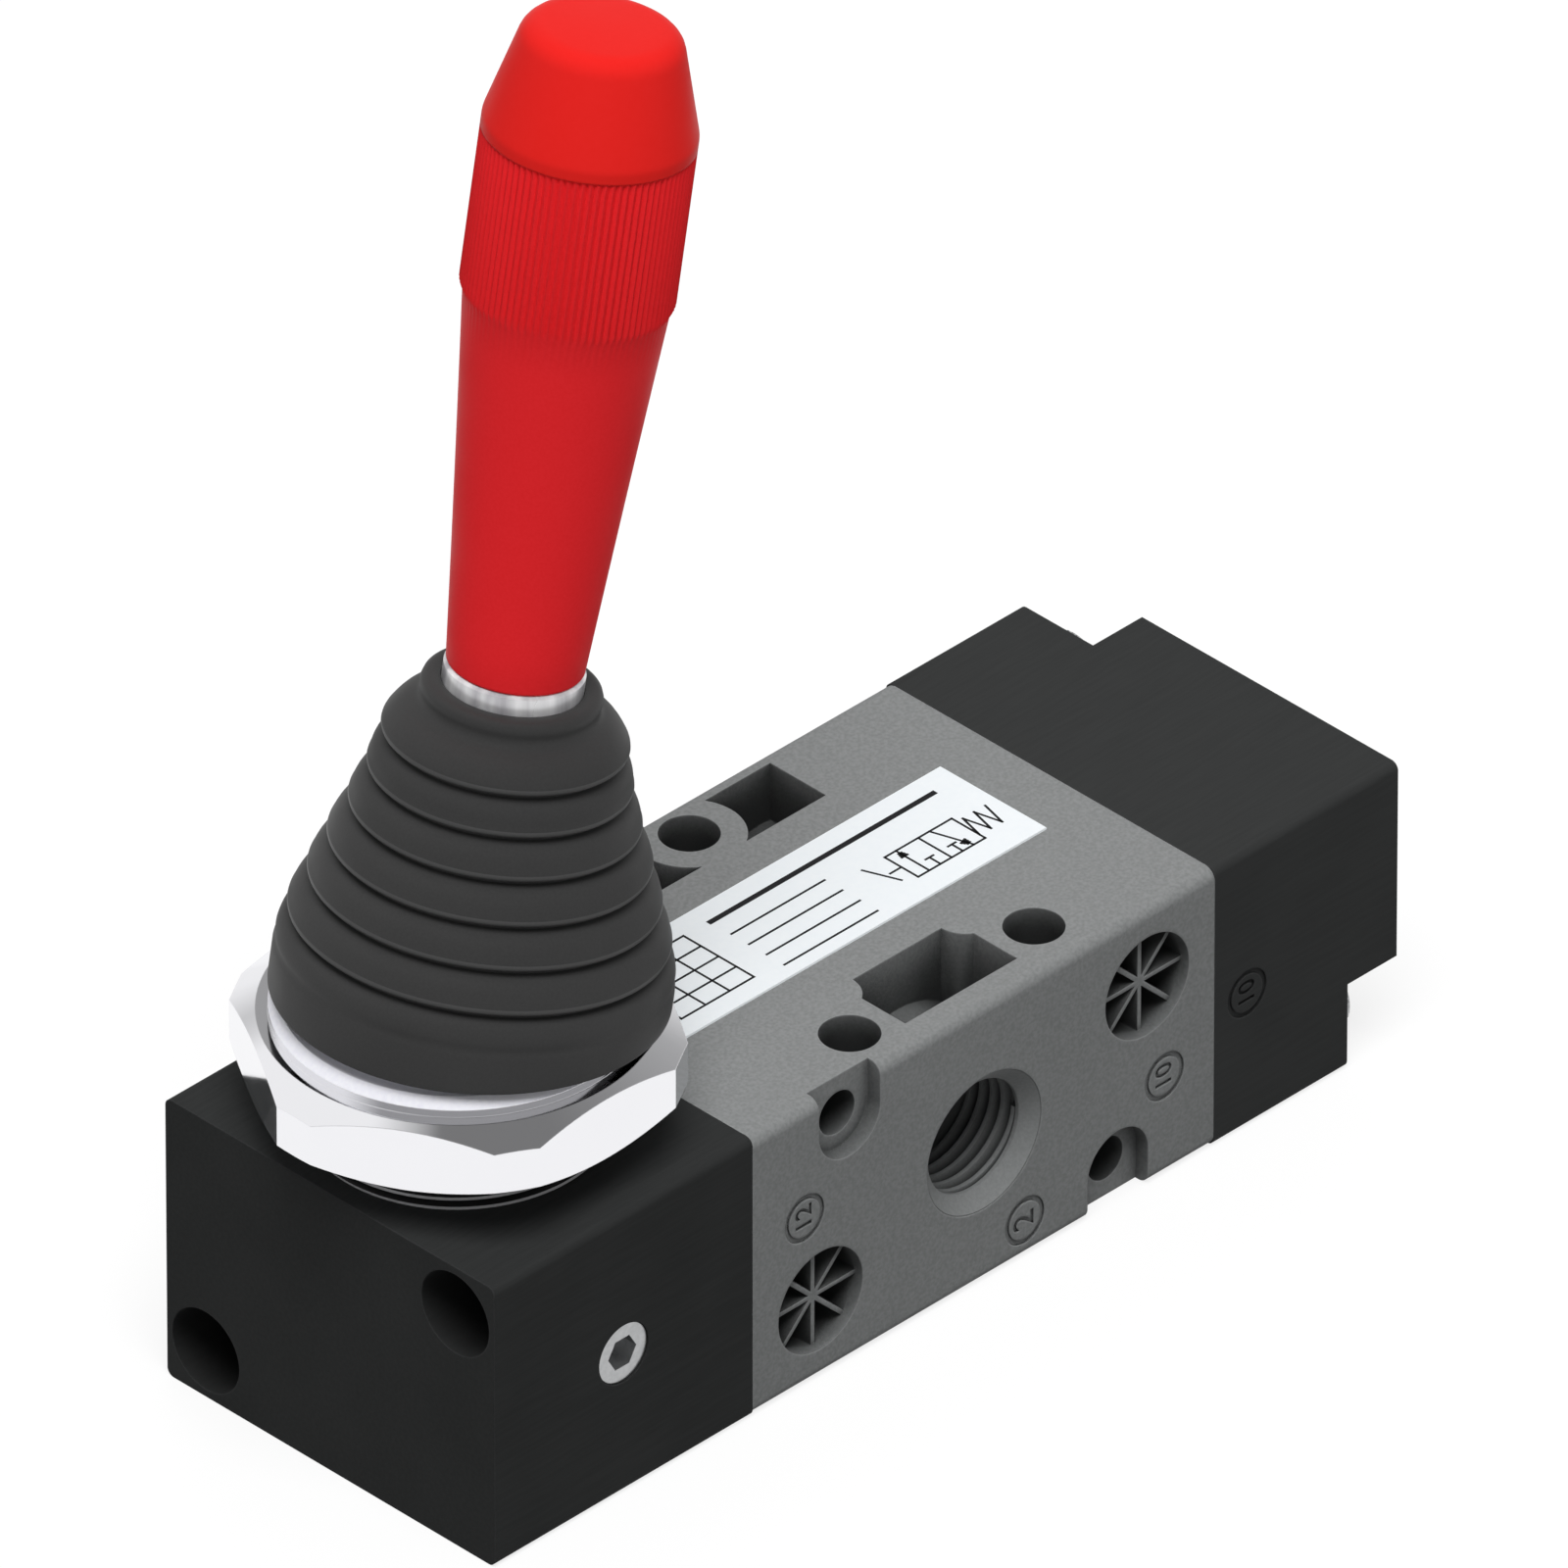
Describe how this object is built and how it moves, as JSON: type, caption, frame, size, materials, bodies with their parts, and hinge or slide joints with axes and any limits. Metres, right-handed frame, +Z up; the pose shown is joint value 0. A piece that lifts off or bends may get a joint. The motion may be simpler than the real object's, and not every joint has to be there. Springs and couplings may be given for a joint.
{
  "type": "hand lever air valve",
  "caption": "Spring-return hand lever spool valve with a rubber boot, round red knob, threaded collar and hexagon panel nut, grey ported body and black end blocks.",
  "frame": {"origin": "centre of the grey valve body's bottom face", "axes": "+X along the spool from the lever towards the end cap, -Y out of the single front port, +Z up"},
  "size_m": [0.1172, 0.041, 0.1384],
  "materials": {
    "grey_anodised_body": "fine blasted and grey anodised",
    "black_anodised_ends": "machined and black anodised, satin",
    "nitrile_seals": "moulded, matt",
    "black_rubber_boot": "moulded, satin",
    "zinc_plated_screws": "zinc plated",
    "ground_steel": "turned and ground",
    "bright_aluminium": "turned, bright",
    "acetal": "turned acetal, black",
    "dark_threaded_steel": "blackened thread",
    "chrome_nut": "polished chrome plate",
    "red_knob": "moulded, satin red",
    "silver_label": "printed film, unlettered"
  },
  "bodies": {
    "root": {"valve_body": "grey_anodised_body", "lever_housing": "black_anodised_ends", "end_cap": "black_anodised_ends", "housing_seal": "nitrile_seals", "end_cap_seal": "nitrile_seals", "housing_screws": "zinc_plated_screws", "end_cap_screws": "zinc_plated_screws", "threaded_collar": "dark_threaded_steel", "panel_nut": "chrome_nut", "pivot_pin": "ground_steel", "guide_screw": "zinc_plated_screws", "lever_end_spacer": "acetal", "cap_end_spacer": "acetal", "port_spacers": "acetal", "spool_seals": "nitrile_seals", "label_plate": "silver_label", "bellows": "black_rubber_boot", "return_spring": "ground_steel"},
    "lever": {"lever_rod": "ground_steel", "ferrule": "chrome_nut", "lever_knob": "red_knob"},
    "spool": {"slider": "bright_aluminium", "spool": "bright_aluminium", "spring_seat": "acetal"}
  },
  "joints": [
    {"name": "lever_swing", "type": "hinge", "parent": "root", "child": "lever", "pos_m": [-0.0448, 0, 0.035], "axis": [0, -1, 0], "range_deg": [0, 20.3], "stiffness_Nm_per_rad": 1.2, "springref_deg": -14.32, "deforming": ["bellows"]},
    {"name": "spool_slide", "type": "slide", "parent": "root", "child": "spool", "axis": [1, 0, 0], "range_m": [0, 0.00715], "deforming": ["return_spring"]}
  ],
  "couplings": [
    {"joint": "spool_slide", "follows": "lever_swing", "m_per_rad": 0.019896}
  ]
}
